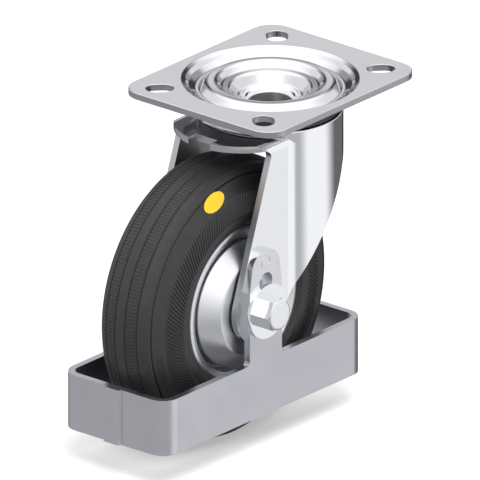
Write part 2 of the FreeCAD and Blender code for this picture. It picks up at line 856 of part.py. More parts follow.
def tyre_half(side):
    """Corners of one side of the tyre's section, from the middle rib of the tread down to the seat."""
    groove = size("tread_groove_width") / 2
    depth = size("tread_groove_depth")
    radius = size("wheel_radius")
    corners = []
    before = groove - size("inner_groove_place")
    for place in (size("inner_groove_place"), size("outer_groove_place")):
        middle = (before + place - groove) / 2
        corners.append((tread_radius(place - groove), side * (place - groove),
                        (tread_radius(middle), side * middle)))
        corners.append((tread_radius(place) - depth, side * place))
        corners.append((tread_radius(place + groove), side * (place + groove)))
        before = place + groove
    middle = (before + size("tread_edge")) / 2
    corners.append((radius - size("tread_drop"), side * size("tread_edge"),
                    (tread_radius(middle), side * middle)))
    corners.append((radius - size("shoulder_drop"), side * size("shoulder_half_width")))
    line = size("side_groove_radius")
    corners.append((line + groove, side * sidewall_place(line + groove)))
    corners.append((line, side * (sidewall_place(line) - depth)))
    corners.append((line - groove, side * sidewall_place(line - groove)))
    waist = size("tyre_waist_radius")
    bead = size("tyre_bead_radius")
    widest = size("tyre_width") / 2
    bead_top = bead + size("bead_rounding")
    bulge = (size("tyre_waist_half_width") + widest + size("bead_bulge")) / 2
    corners.append((waist, side * size("tyre_waist_half_width")))
    corners.append((bead_top, side * widest, ((waist + bead_top) / 2, side * bulge)))
    corners.append((bead, side * (widest - size("bead_step"))))
    corners.append((size("rim_lip_radius") + size("fit_clearance"), side * size("rim_lip_place")))
    corners.append((size("rim_seat_radius") + size("fit_clearance"),
                    side * (size("rim_lip_place") - size("rim_sheet"))))
    return corners


def tyre():
    right = tyre_half(1)
    left = tyre_half(-1)
    back = []
    for i in range(len(left) - 1, -1, -1):
        arrived_by = left[i + 1][2:] if i + 1 < len(left) else ()
        back.append(left[i][:2] + tuple(arrived_by))
    return turned("tyre", right + back, FAR)


def rim_half(label, placement):
    seat = size("rim_seat_radius")
    sheet_wall = size("rim_sheet")
    lip = size("rim_lip_radius")
    lip_place = size("rim_lip_place")
    groove_out = size("rim_groove_outer")
    groove_in = size("rim_groove_inner")
    floor = size("rim_groove_floor")
    shoulder = size("hub_shoulder_radius")
    face = size("hub_face")
    bore = size("hub_tube_radius") + size("fit_clearance")
    groove_edge = lip_place - size("rim_lip_fall")
    slope = size("rim_groove_slope")
    reach = groove_in - shoulder
    rise = face - groove_edge
    bulge = math.sqrt(0.5)
    return turned(label, [
        (seat, 0),
        (seat, lip_place - sheet_wall),
        (lip, lip_place),
        (groove_out, groove_edge),
        (groove_out - slope, floor),
        (groove_in + slope, floor),
        (groove_in, groove_edge),
        (shoulder, face, (shoulder + reach * bulge, groove_edge + rise * bulge)),
        (bore, face),
        (bore, face - sheet_wall),
        (shoulder - slope, face - sheet_wall),
        (groove_in - sheet_wall, groove_edge,
         (shoulder - slope + (reach - sheet_wall) * bulge, groove_edge + (rise - sheet_wall) * bulge)),
        (groove_in - sheet_wall, floor - sheet_wall),
        (seat - sheet_wall, floor - sheet_wall),
        (seat - sheet_wall, 0),
    ], placement)


def hub_tube():
    outer = size("hub_tube_radius")
    seat = size("bearing_radius")
    stop = size("hub_stop_radius")
    face = size("hub_face")
    step = bearing_inner_face
    return turned("hub_tube", [
        (seat, -face),
        (outer, -face),
        (outer, face),
        (seat, face),
        (seat, step),
        (stop, step),
        (stop, -step),
        (seat, -step),
    ], FAR)


def bearing(side, placement):
    """Outer ring, inner ring, balls and shield of one wheel bearing."""
    foot = bearing_inner_face
    head = bearing_outer_face
    middle = (foot + head) / 2
    inner_land = size("bearing_inner_land")
    outer_land = size("bearing_outer_land")
    pitch = (inner_land + outer_land) / 2
    ball = size("bearing_ball_radius") + size("bearing_race_clearance")
    half = math.sqrt(ball ** 2 - (outer_land - pitch) ** 2)
    outer = size("bearing_radius") - size("fit_clearance")
    bore = size("bearing_bore_radius") + size("fit_clearance")
    turned("bearing_outer_" + side, [
        (outer, foot),
        (outer, head),
        (outer_land, head),
        (outer_land, middle + half),
        (outer_land, middle - half, (pitch + ball, middle)),
        (outer_land, foot),
    ], placement)
    turned("bearing_inner_" + side, [
        (bore, foot),
        (inner_land, foot),
        (inner_land, middle - half),
        (inner_land, middle + half, (pitch - ball, middle)),
        (inner_land, head),
        (bore, head),
    ], placement)
    ball_ring("bearing_balls_" + side, "bearing_ball_radius", "bearing_ball_count", pitch, middle, placement)
    ring("bearing_shield_" + side, "Sizes.bearing_outer_land - Sizes.fit_clearance",
         "Sizes.bearing_inner_land + Sizes.shield_clearance", "Sizes.shield_thickness",
         head - size("shield_thickness") - size("shield_inset"), placement)


# Axle: bolt, washers and nut outside the lugs, tube, spacers and sleeve between the legs
def hexagon(sketch, across_flats):
    corner = across_flats / math.sqrt(3)
    outline(sketch, [(corner * math.cos(math.radians(60 * i)), corner * math.sin(math.radians(60 * i)))
                     for i in range(6)])


def bevel(body, end, inward):
    """Turn the corners off one end of a hexagon."""
    flat = size("head_across_flats") / 2
    sketch = new_sketch(body, "XZ_Plane", "bevel_section")
    outline(sketch, [
        (flat - size("bevel_inset"), end),
        (flat + size("bevel_reach"), end),
        (flat + size("bevel_reach"), end + inward * size("bevel_depth")),
    ])
    turn(body, sketch, "Groove")


def axle_bolt():
    body = new_body("axle_bolt", FAR)
    under_head = -(lug_outer_y + size("washer_thickness"))
    head = new_sketch(body, "XY_Plane", "head_outline", under_head)
    hexagon(head, size("head_across_flats"))
    pad(body, head, "Sizes.head_height", reverse=True)
    bevel(body, under_head - size("head_height"), 1)
    shank = new_sketch(body, "XY_Plane", "shank_outline", under_head)
    circle(shank, "Sizes.bolt_radius")
    pad(body, shank, "Sizes.fork_inner_width + 2 * (Sizes.fork_thickness + Sizes.guard_thickness"
                     " + Sizes.washer_thickness) + Sizes.nut_height + Sizes.bolt_end_stand")
    return body


def axle_nut():
    body = new_body("axle_nut", FAR)
    foot = lug_outer_y + size("washer_thickness")
    sketch = new_sketch(body, "XY_Plane", "nut_outline", foot)
    hexagon(sketch, size("head_across_flats"))
    circle(sketch, "Sizes.bolt_radius + Sizes.fit_clearance")
    pad(body, sketch, "Sizes.nut_height")
    bevel(body, foot + size("nut_height"), -1)
    return body


def axle_parts():
    axle_bolt()
    axle_nut()
    washer_bore = "Sizes.bolt_radius + Sizes.bolt_hole_clearance"
    ring("washer_near", "Sizes.washer_radius", washer_bore, "Sizes.washer_thickness", lug_outer_y, NEAR)
    ring("washer_far", "Sizes.washer_radius", washer_bore, "Sizes.washer_thickness", lug_outer_y, FAR)
    ring("axle_tube", "Sizes.bearing_bore_radius", washer_bore, "Sizes.fork_inner_width", -leg_inner_y, FAR)
    tube_fit = "Sizes.bearing_bore_radius + Sizes.fit_clearance"
    ring("bearing_sleeve", "Sizes.sleeve_radius", tube_fit,
         "2 * (Sizes.hub_face - Sizes.bearing_recess - Sizes.bearing_width)", -bearing_inner_face, FAR)
    spacer_rule = "Sizes.fork_inner_width / 2 - Sizes.hub_face + Sizes.bearing_recess"
    ring("spacer_near", "Sizes.spacer_radius", tube_fit, spacer_rule, bearing_outer_face, NEAR)
    ring("spacer_far", "Sizes.spacer_radius", tube_fit, spacer_rule, bearing_outer_face, FAR)


# Marker: thin oval sticker on the near sidewall of the tyre
def marker_dot():
    place = size("dot_place_radius")
    angle = math.radians(size("dot_angle"))
    outward = FreeCAD.Vector(math.cos(angle), 0, math.sin(angle))
    along = FreeCAD.Vector(-math.sin(angle), 0, math.cos(angle))
    spot = FreeCAD.Vector(wheel_x, -sidewall_place(place), wheel_z) + outward * place
    facing = outward * sidewall_slope() - FreeCAD.Vector(0, 1, 0)
    across = facing.cross(along)
    body = new_body("marker_dot", FreeCAD.Placement(spot, FreeCAD.Rotation(along, across, facing, "ZXY")))
    sketch = new_sketch(body, "XY_Plane", "dot_outline", size("dot_clearance"))
    origin = FreeCAD.Vector(0, 0, 0)
    oval = sketch.addGeometry(Part.Ellipse(origin, size("dot_length") / 2, size("dot_height") / 2), False)
    sketch.exposeInternalGeometry(oval)
    for axis, alias in ((oval + 1, "dot_length"), (oval + 2, "dot_height")):
        rule = sketch.addConstraint(Sketcher.Constraint("Distance", axis, size(alias)))
        sketch.setExpression("Constraints[%d]" % rule, "Sizes." + alias)
    pad(body, sketch, "Sizes.dot_thickness")
    return body


def check_and_write():
    """Stop on any failed object, then write one file for each piece."""
    doc.recompute()
    for item in doc.Objects:
        if "Invalid" in item.State or "Error" in item.State:
            raise RuntimeError("failed object: %s %s" % (item.Label, item.State))
    os.makedirs("parts", exist_ok=True)
    for piece in pieces:
        shape = piece.Shape
        if shape.isNull() or not shape.isValid() or not shape.Solids:
            raise RuntimeError("bad shape: " + piece.Label)
    for piece in pieces:
        piece.Shape.exportStep("parts/" + piece.Label + ".step")
        print("%-22s solids %2d faces %3d volume %10.1f" % (
            piece.Label, len(piece.Shape.Solids), len(piece.Shape.Faces), piece.Shape.Volume))


top_plate()
king_rivet()
dust_ring()
lower_cup()
ball_ring("upper_balls", "upper_ball_radius", "upper_ball_count", upper_ball_place.x, upper_ball_place.y)
ball_ring("lower_balls", "lower_ball_radius", "lower_ball_count", size("lower_pitch_radius"), lower_ball_z)
fork()
foot_guard()
tyre()
rim_half("rim_near", NEAR)
rim_half("rim_far", FAR)
hub_tube()
bearing("near", NEAR)
bearing("far", FAR)
axle_parts()
marker_dot()
check_and_write()
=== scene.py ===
# %% [markdown]
# # Swivel castor
# The castor comes from CAD with every piece in place: a pressed top plate, a drawn fork, a bent foot
# guard and a wheel with a rubber tyre. The CAD solids hold the shapes and sizes. This lesson gives
# them their finishes, and gives five of them a finer form than the solids have. A maker thinks in
# millimetres and Blender in metres, so lengths are written in millimetres and multiplied by MM
# where Blender gets them.

# %% Start
import bmesh
import bpy
import math
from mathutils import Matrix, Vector


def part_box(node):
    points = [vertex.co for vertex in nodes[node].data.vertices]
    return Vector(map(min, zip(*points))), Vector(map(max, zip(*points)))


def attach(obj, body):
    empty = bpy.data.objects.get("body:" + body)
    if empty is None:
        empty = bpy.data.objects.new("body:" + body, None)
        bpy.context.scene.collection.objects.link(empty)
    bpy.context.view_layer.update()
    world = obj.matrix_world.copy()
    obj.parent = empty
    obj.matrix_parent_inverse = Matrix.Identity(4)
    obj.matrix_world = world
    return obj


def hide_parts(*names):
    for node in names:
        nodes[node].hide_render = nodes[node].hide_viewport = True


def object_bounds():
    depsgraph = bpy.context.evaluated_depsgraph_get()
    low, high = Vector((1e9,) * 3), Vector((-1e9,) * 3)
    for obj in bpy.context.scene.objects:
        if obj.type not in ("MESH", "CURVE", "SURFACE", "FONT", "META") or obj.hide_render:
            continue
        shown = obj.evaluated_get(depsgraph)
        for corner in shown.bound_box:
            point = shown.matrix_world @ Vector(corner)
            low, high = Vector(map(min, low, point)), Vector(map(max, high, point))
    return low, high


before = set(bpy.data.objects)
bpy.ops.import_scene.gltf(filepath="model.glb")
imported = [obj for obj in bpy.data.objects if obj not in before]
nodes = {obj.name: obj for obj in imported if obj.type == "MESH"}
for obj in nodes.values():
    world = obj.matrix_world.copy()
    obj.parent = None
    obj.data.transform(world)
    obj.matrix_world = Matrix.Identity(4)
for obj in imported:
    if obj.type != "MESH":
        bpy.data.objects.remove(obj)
cad_low, cad_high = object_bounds()
MM = 0.001
print("pieces from the CAD model:", len(nodes))

# %% [markdown]
# ## Zinc plating
# The pressed parts are zinc plated steel. Plating mirrors the room, but never evenly: it is a little
# duller here and there, and the sheet under it has a slow wave. A picture of metal could be wrapped
# round each piece, but it needs unwrapping and shows its seams. Here one Principled shader is made
# metallic, and noise in the object's own coordinates varies its roughness and its bump. That has no
# seams, and it stays on the piece when the piece turns.

# %% A material with uneven roughness
METAL, NOT_METAL = 1.0, 0.0
NOISE_LOW, NOISE_HIGH = 0.3, 0.7


def shader_of(tree):
    return tree.nodes["Principled BSDF"]


def new_material(name, colour, metallic, roughness):
    """Material with one Principled shader."""
    material = bpy.data.materials.new(name)
    material.use_nodes = True
    shader = shader_of(material.node_tree)
    shader.inputs["Base Color"].default_value = (*colour, 1)
    shader.inputs["Metallic"].default_value = metallic
    shader.inputs["Roughness"].default_value = roughness
    return material


def noise(tree, scale, detail=3.0):
    """Noise in the object's own coordinates. A larger scale is finer."""
    place = tree.nodes.new("ShaderNodeTexCoord")
    texture = tree.nodes.new("ShaderNodeTexNoise")
    texture.inputs["Scale"].default_value = scale
    texture.inputs["Detail"].default_value = detail
    tree.links.new(place.outputs["Object"], texture.inputs["Vector"])
    return texture.outputs["Fac"]


def spread(tree, value, low, high, start, stop):
    """A value that goes from start to stop, turned into one that goes from low to high."""
    ramp = tree.nodes.new("ShaderNodeMapRange")
    ramp.inputs["From Min"].default_value = start
    ramp.inputs["From Max"].default_value = stop
    ramp.inputs["To Min"].default_value = low
    ramp.inputs["To Max"].default_value = high
    tree.links.new(value, ramp.inputs["Value"])
    return ramp.outputs["Result"]


def mottle(tree, scale, smooth, rough, detail=3.0):
    """Roughness that wanders between two values."""
    uneven = spread(tree, noise(tree, scale, detail), smooth, rough, NOISE_LOW, NOISE_HIGH)
    tree.links.new(uneven, shader_of(tree).inputs["Roughness"])


print("noise is read from", NOISE_LOW, "to", NOISE_HIGH)

# %% Plated steel
PLATING_MOTTLE = 90
SHEET_WAVE, SHEET_WAVE_DETAIL, SHEET_WAVE_DEPTH = 60, 1.0, 0.4


def add_bump(tree, height, depth, strength):
    """Bump from a height that goes from 0 to 1, with its depth in millimetres."""
    bump = tree.nodes.new("ShaderNodeBump")
    bump.inputs["Distance"].default_value = depth * MM
    bump.inputs["Strength"].default_value = strength
    tree.links.new(height, bump.inputs["Height"])
    tree.links.new(bump.outputs["Normal"], shader_of(tree).inputs["Normal"])


def plated(name, colour, smooth, rough, wave):
    """Zinc plated steel: clear reflections, a slow wave in the sheet and a faint mottle."""
    material = new_material(name, colour, METAL, smooth)
    tree = material.node_tree
    mottle(tree, PLATING_MOTTLE, smooth, rough)
    add_bump(tree, noise(tree, SHEET_WAVE, SHEET_WAVE_DETAIL), SHEET_WAVE_DEPTH, wave)
    return material


zinc_bright = plated("zinc_bright", (0.83, 0.84, 0.87), smooth=0.07, rough=0.12, wave=0.02)
zinc_rim = plated("zinc_rim", (0.74, 0.75, 0.78), smooth=0.34, rough=0.40, wave=0.02)
zinc_mirror = plated("zinc_mirror", (0.86, 0.87, 0.90), smooth=0.03, rough=0.06, wave=0.01)
bearing_steel = plated("bearing_steel", (0.6, 0.6, 0.62), smooth=0.12, rough=0.2, wave=0.02)
print("plain metals:", zinc_bright.name, zinc_rim.name, zinc_mirror.name, bearing_steel.name)

# %% [markdown]
# ## Sheared edges of the plate
# A press cuts the plate out of sheet, so its cut faces are rougher and darker than the mirror faces.
# They could get a material of their own, but then every face has to be picked. Here one material
# finds them by itself, with a mask: a value that is 1 where a face stands upright outside the pressed
# ring and 0 elsewhere. Masks are multiplied where both have to hold, and their maximum is taken
# where either will do.

# %% Masks
def axis_parts(tree, output):
    """Place on the object, or its surface normal, split into X, Y and Z."""
    source = tree.nodes.new("ShaderNodeTexCoord")
    split = tree.nodes.new("ShaderNodeSeparateXYZ")
    tree.links.new(source.outputs[output], split.inputs["Vector"])
    return split.outputs


def combine(tree, operation, *values):
    """A Math node. Each value is a plain number or the output of another node."""
    node = tree.nodes.new("ShaderNodeMath")
    node.operation = operation
    for socket, value in zip(node.inputs, values):
        if isinstance(value, (int, float)):
            socket.default_value = value
        else:
            tree.links.new(value, socket)
    return node.outputs["Value"]


def from_centre(tree, one, two, centre=(0.0, 0.0)):
    """Distance in a plane from a centre given in millimetres."""
    first = combine(tree, "SUBTRACT", one, centre[0] * MM)
    second = combine(tree, "SUBTRACT", two, centre[1] * MM)
    squares = combine(tree, "ADD", combine(tree, "MULTIPLY", first, first),
                      combine(tree, "MULTIPLY", second, second))
    return combine(tree, "SQRT", squares)


def beyond(tree, value, edge, fade):
    """Mask: 0 up to the edge, 1 from the edge plus the fade. Both in millimetres."""
    return spread(tree, value, 0.0, 1.0, edge * MM, (edge + fade) * MM)


def short_of(tree, value, edge, fade):
    """The opposite mask: 1 up to the edge, 0 from the edge plus the fade."""
    return spread(tree, value, 1.0, 0.0, edge * MM, (edge + fade) * MM)


print("mask helpers: beyond and short_of, with edges in millimetres")

# %% Plate finish
# A Mix node has sockets for each kind of value. These three are the ones for colours.
MIX_FIRST, MIX_SECOND, MIX_RESULT = 6, 7, 2
UPRIGHT_FROM, UPRIGHT_TO = 0.25, 0.6
SHEARED_FROM, SHEARED_FADE = 40.5, 0.5
SHEARED_ROUGHER = 0.25
SHEARED_GREY = (0.42, 0.42, 0.45)


def roughen(tree, mask, amount):
    """More roughness where the mask is 1, or less where the amount is negative."""
    roughness = shader_of(tree).inputs["Roughness"]
    before = roughness.links[0].from_socket
    change = combine(tree, "MULTIPLY", mask, amount)
    tree.links.new(combine(tree, "ADD", before, change), roughness)


def tint(tree, mask, colour):
    """The shader's own colour, turning into another where the mask is 1."""
    base = shader_of(tree).inputs["Base Color"]
    blend = tree.nodes.new("ShaderNodeMix")
    blend.data_type = "RGBA"
    blend.inputs[MIX_FIRST].default_value = base.default_value
    blend.inputs[MIX_SECOND].default_value = (*colour, 1)
    tree.links.new(mask, blend.inputs["Factor"])
    tree.links.new(blend.outputs[MIX_RESULT], base)


def sheared_plate():
    """Plated sheet, duller and darker on the upright faces outside the pressed ring."""
    material = plated("zinc_plate", (0.66, 0.665, 0.69), smooth=0.06, rough=0.11, wave=0.02)
    tree = material.node_tree
    place, facing = axis_parts(tree, "Object"), axis_parts(tree, "Normal")
    slope = combine(tree, "ABSOLUTE", facing["Z"])
    upright = spread(tree, slope, 1.0, 0.0, UPRIGHT_FROM, UPRIGHT_TO)
    outside = beyond(tree, from_centre(tree, place["X"], place["Y"]), SHEARED_FROM, SHEARED_FADE)
    sheared = combine(tree, "MULTIPLY", upright, outside)
    roughen(tree, sheared, SHEARED_ROUGHER)
    tint(tree, sheared, SHEARED_GREY)
    return material


zinc_plate = sheared_plate()
print("plate finish nodes:", len(zinc_plate.node_tree.nodes))

# %% [markdown]
# ## Fork
# The fork is drawn from one sheet. Its outside is bright. Its inside is rougher and painted darker,
# a painted shade in the deep shell, and its back edges were sheared, which makes them duller and
# greyer. Inside and outside are one solid here, so the mask describes the shell's inside as a maker
# would: within the round head's wall, or between the legs and past the hollow neck where head and leg
# meet, and all below the deck.

# %% Fork finish
# The second grey is painted shade inside the shell, and the sheared back edges' own duller grey.
PALE_ZINC, SHEARED_AND_SHADE_ZINC = (0.84, 0.85, 0.88), (0.47, 0.48, 0.50)
SHELL_FADE, NECK_FADE, DECK_FADE = 0.5, 0.4, 1.0
HEAD_INSIDE = 29.5
NECK_CENTRE, NECK_REACH = (-19.5, 35.25), 10.3
LEG_INSIDE, NECK_BACK, HEAD_BACK = 24.5, -19.7, -15.4
DECK_UNDERSIDE = -15.5
BACKWARD_FROM, BACKWARD_TO = -0.9, -0.7
INSIDE_ROUGHER = 0.34


def drawn_fork():
    """Plated sheet: bright outside, rougher with painted shade inside, duller on its sheared back edges.
    """
    material = plated("zinc_fork", PALE_ZINC, smooth=0.06, rough=0.11, wave=0.02)
    tree = material.node_tree
    place, facing = axis_parts(tree, "Object"), axis_parts(tree, "Normal")
    off_middle = combine(tree, "ABSOLUTE", place["Y"])
    in_head = short_of(tree, from_centre(tree, place["X"], off_middle), HEAD_INSIDE, SHELL_FADE)
    from_neck = from_centre(tree, place["X"], off_middle, NECK_CENTRE)
    past_neck = beyond(tree, from_neck, NECK_REACH, NECK_FADE)
    behind_head = short_of(tree, place["X"], HEAD_BACK, NECK_FADE)
    between_legs = short_of(tree, off_middle, LEG_INSIDE, SHELL_FADE)
    at_neck = beyond(tree, place["X"], NECK_BACK, NECK_FADE)
    in_leg = combine(tree, "MULTIPLY", combine(tree, "MULTIPLY", past_neck, behind_head),
                     combine(tree, "MAXIMUM", between_legs, at_neck))
    below_deck = short_of(tree, place["Z"], DECK_UNDERSIDE, DECK_FADE)
    # The inside mask marks where shade is painted into the fork's colour.
    inside = combine(tree, "MULTIPLY", combine(tree, "MAXIMUM", in_head, in_leg), below_deck)
    sheared = spread(tree, facing["X"], 1.0, 0.0, BACKWARD_FROM, BACKWARD_TO)
    dull = combine(tree, "MAXIMUM", sheared, inside)
    roughen(tree, dull, INSIDE_ROUGHER)
    # Painted shade: the tint darkens the shell's inside, and greys the sheared back edges.
    tint(tree, dull, SHEARED_AND_SHADE_ZINC)
    return material


zinc_fork = drawn_fork()
print("fork finish nodes:", len(zinc_fork.node_tree.nodes))

# %% [markdown]
# ## Foot guard
# The guard is a flat bar that was bent, welded and tumbled, so it has a satin grey. Its lugs are paler
# and smoother towards their tops, and the walls of their holes stay rough. Two materials would leave a
# hard line across each lug. One material that turns brighter with height fades from one to the other.

# %% Guard finish
# The second grey is the lugs' paler colour towards their tops.
SATIN_GREY, PALER_LUG_GREY = (0.59, 0.595, 0.64), (0.72, 0.725, 0.76)
LUG_FOOT, LUG_FADE, LUG_SMOOTHER = -98.0, 6.0, -0.14
LUG_HOLE, LUG_HOLE_RADIUS, LUG_HOLE_FADE = (-37.75, -74.4), 4.3, 0.2
LUG_HOLE_ROUGHER = 0.35


def guard_finish():
    """Tumbled bar, with lugs that turn paler and smoother towards their tops."""
    material = plated("zinc_satin", SATIN_GREY, smooth=0.28, rough=0.36, wave=0.04)
    tree = material.node_tree
    place = axis_parts(tree, "Object")
    lug = beyond(tree, place["Z"], LUG_FOOT, LUG_FADE)
    from_hole = from_centre(tree, place["X"], place["Z"], LUG_HOLE)
    roughen(tree, lug, LUG_SMOOTHER)
    roughen(tree, short_of(tree, from_hole, LUG_HOLE_RADIUS, LUG_HOLE_FADE), LUG_HOLE_ROUGHER)
    # Paler grey towards the top of each lug.
    tint(tree, lug, PALER_LUG_GREY)
    return material


zinc_satin = guard_finish()
print("guard finish nodes:", len(zinc_satin.node_tree.nodes))

# %% [markdown]
# ## Rivet
# The king rivet is a hollow rivet. Its flared head is bright, and its bore is rough where the tool
# ran. The bore is everything near the rivet's axis, so one mask by distance finds it, with no need
# to pick faces.

# %% Rivet finish
BORE_REACH, BORE_FADE, BORE_ROUGHER = 9.35, 0.25, 0.26
RIVET_MOTTLE = 200


def rivet_finish():
    """Plated rivet, rough inside its bore where the tool ran."""
    material = new_material("zinc_rivet", PALE_ZINC, METAL, roughness=0.08)
    tree = material.node_tree
    mottle(tree, RIVET_MOTTLE, smooth=0.05, rough=0.09)
    place = axis_parts(tree, "Object")
    bore = short_of(tree, from_centre(tree, place["X"], place["Y"]), BORE_REACH, BORE_FADE)
    roughen(tree, bore, BORE_ROUGHER)
    return material


zinc_rivet = rivet_finish()
print("rivet finish nodes:", len(zinc_rivet.node_tree.nodes))

# %% [markdown]
# ## Rubber, plastic and paper
# The tyre is black rubber, dull, with a fine grain from its mould. The dust ring is black plastic,
# and a plain yellow sticker marks the wheel. The grain is too fine for a mesh, so a bump makes it.
# The other two are smooth, and uneven roughness is enough to make their shine look real.

# %% Rubber, plastic and paper
RUBBER_MOTTLE = 240
RUBBER_GRAIN, GRAIN_DETAIL, GRAIN_DEPTH, GRAIN_STRENGTH = 2600, 2.0, 0.05, 0.3


def rubber_finish():
    """Black rubber: dull, with a fine grain from the mould."""
    material = new_material("rubber", (0.0225, 0.0225, 0.024), NOT_METAL, roughness=0.5)
    tree = material.node_tree
    mottle(tree, RUBBER_MOTTLE, smooth=0.42, rough=0.58, detail=4.0)
    add_bump(tree, noise(tree, RUBBER_GRAIN, GRAIN_DETAIL), GRAIN_DEPTH, GRAIN_STRENGTH)
    return material


def smooth_finish(name, colour, roughness, scale, smooth, rough):
    """Plastic or varnished paper: one colour with an uneven shine."""
    material = new_material(name, colour, NOT_METAL, roughness)
    mottle(material.node_tree, scale, smooth, rough)
    return material


rubber = rubber_finish()
sticker_yellow = smooth_finish("sticker_yellow", (0.86, 0.56, 0.015), roughness=0.3, scale=400,
                               smooth=0.25, rough=0.4)
ring_black = smooth_finish("ring_black", (0.02, 0.02, 0.022), roughness=0.35, scale=300,
                           smooth=0.3, rough=0.42)
print("other finishes:", rubber.name, sticker_yellow.name, ring_black.name)

# %% [markdown]
# ## Dressing the CAD pieces
# Each CAD piece takes one finish. Setting them by hand in the material tab would work, but a table
# from piece to finish is read at a glance. What it doesn't name is plain bearing steel: the balls,
# the bearings, the axle tube and the spacers. The top plate, rivet, tyre and rims get their finish
# further on, with their finer forms.

# %% Dressing the CAD pieces
finishes = {
    "dust_ring": ring_black, "lower_cup": zinc_bright, "fork": zinc_fork, "foot_guard": zinc_satin,
    "hub_tube": zinc_rim, "axle_bolt": zinc_bright, "axle_nut": zinc_bright,
    "washer_near": zinc_mirror, "washer_far": zinc_mirror, "marker_dot": sticker_yellow,
}
for name, piece in nodes.items():
    finish = finishes.get(name, bearing_steel)
    for material_slot in piece.material_slots:
        material_slot.material = finish
print("dressed:", len(nodes))

# %% [markdown]
# ## Sections carried round an axis
# A pressed or turned piece is one section carried round an axis. Blender's Spin tool does that with
# an edited mesh. Here the section is written as a maker's drawing, a list of corners with a bend
# radius each, because then a bend is changed by changing one number.

# %% Bends
def bend(corners, steps=5, hold=0.0):
    """Line through (a, b, radius) corners, each rounded by its radius. Hold keeps the straights flat."""
    line = []
    for i, (a, b, radius) in enumerate(corners):
        corner = Vector((a, b))
        if radius == 0:
            line.append(corner)
            continue
        before = (Vector(corners[i - 1][:2]) - corner).normalized()
        after = (Vector(corners[i + 1][:2]) - corner).normalized()
        half = before.angle(after) / 2
        centre = corner + (before + after).normalized() * (radius / math.sin(half))
        start = corner + before * (radius / math.tan(half)) - centre
        stop = corner + after * (radius / math.tan(half)) - centre
        first = math.atan2(start.y, start.x)
        swing = (math.atan2(stop.y, stop.x) - first + math.pi) % (2 * math.pi) - math.pi
        if hold:
            line.append(centre + start + before * hold)
        for step in range(steps + 1):
            angle = first + swing * step / steps
            line.append(centre + Vector((math.cos(angle), math.sin(angle))) * radius)
        if hold:
            line.append(centre + stop + after * hold)
    return line


print("points on one rounded corner:", len(bend([(0, 0, 0), (10, 0, 2), (10, 10, 0)])) - 2)

# %% Rings and new pieces
SHARP_FROM = math.radians(35)


def add_loop(mesh, points):
    """Mesh points at places given in millimetres."""
    return [mesh.verts.new(Vector(point) * MM) for point in points]


def join(mesh, here, there):
    """Band of four sided faces between two closed loops of the same count."""
    for i in range(len(here)):
        j = (i + 1) % len(here)
        mesh.faces.new((here[i], here[j], there[j], there[i]))


def carry_round(mesh, section, turns, place):
    """Closed ring: the section at every step round the axis. place(a, b, angle) gives the point."""
    angles = [2 * math.pi * turn / turns for turn in range(turns)]
    loops = [add_loop(mesh, [place(a, b, angle) for a, b in section]) for angle in angles]
    for here, there in zip(loops, loops[1:] + loops[:1]):
        join(mesh, here, there)


def new_piece(name, mesh, material):
    """Object from the mesh: normals outward, smooth but for tagged faces and sharp edges."""
    bmesh.ops.recalc_face_normals(mesh, faces=mesh.faces)
    for face in mesh.faces:
        face.smooth = not face.tag
    for edge in mesh.edges:
        edge.smooth = edge.calc_face_angle(0) < SHARP_FROM
    data = bpy.data.meshes.new(name)
    mesh.to_mesh(data)
    mesh.free()
    piece = bpy.data.objects.new(name, data)
    bpy.context.collection.objects.link(piece)
    data.materials.append(material)
    print(name, "faces:", len(data.polygons))
    return piece


print("edges count as sharp from", round(math.degrees(SHARP_FROM)), "degrees")

# %% [markdown]
# ## Pressed top plate
# The press leaves a flat crest over the ball ring, a ledge inside it and a deep well. Sheared edges
# are never quite sharp, so the outline and the slots get a small rounding that catches the light.
# A Bevel modifier would round every edge alike, also where the ring meets the flat. So the ring is a
# section carried round, the edges are walls of a few levels, and two flat faces fill the rest. The
# underside keeps the CAD's ball race.

# %% Pressed ring
PLATE_THICK = 3.0
RING_EDGE = 40.0
RING_TURNS = 180
WELL_BORE = 11.53
WELL_FLOOR = -8.4
WELL_UNDERSIDE = WELL_FLOOR - PLATE_THICK
RING_TOP = [(RING_EDGE, 0, 0), (38.2, 0, 1.2), (36.4, -0.8, 1.6), (34.9, -2.3, 1.6),
            (32.1, -3.9, 1.6), (30.7, -4.0, 0.8), (27.6, -1.0, 3.0), (23.5, -0.7, 3.0),
            (20.8, -3.3, 2.6), (17.4, -3.8, 2.4), (14.2, WELL_FLOOR, 1.8), (WELL_BORE, WELL_FLOOR, 0)]
RING_UNDER = [(WELL_BORE, WELL_UNDERSIDE, 0), (15.6, WELL_UNDERSIDE, 1.0), (19.5, -6.9, 1.0),
              (23.0, -4.2, 1.0), (31.2, -7.3, 3.0), (37.2, -PLATE_THICK, 1.0),
              (RING_EDGE, -PLATE_THICK, 0)]
ring_section = bend(RING_TOP) + bend(RING_UNDER)
print("points in the ring's section:", len(ring_section))

# %% Outline and slots
PLATE_HALF = (50.0, 42.5)
PLATE_CORNER = 10.0
SLOT_ENDS = ((40.0, 30.0), (37.879, 27.879))
SLOT_RADIUS = 4.5


def rounded_rectangle(inset, steps=10):
    """The plate's outline, drawn in by the inset."""
    radius = PLATE_CORNER - inset
    reach_x, reach_y = (half - inset - radius for half in PLATE_HALF)
    points = []
    for side_x, side_y, first in ((1, 1, 0), (-1, 1, 90), (-1, -1, 180), (1, -1, 270)):
        for step in range(steps + 1):
            angle = math.radians(first + 90 * step / steps)
            points.append((side_x * reach_x + radius * math.cos(angle),
                           side_y * reach_y + radius * math.sin(angle)))
    return points


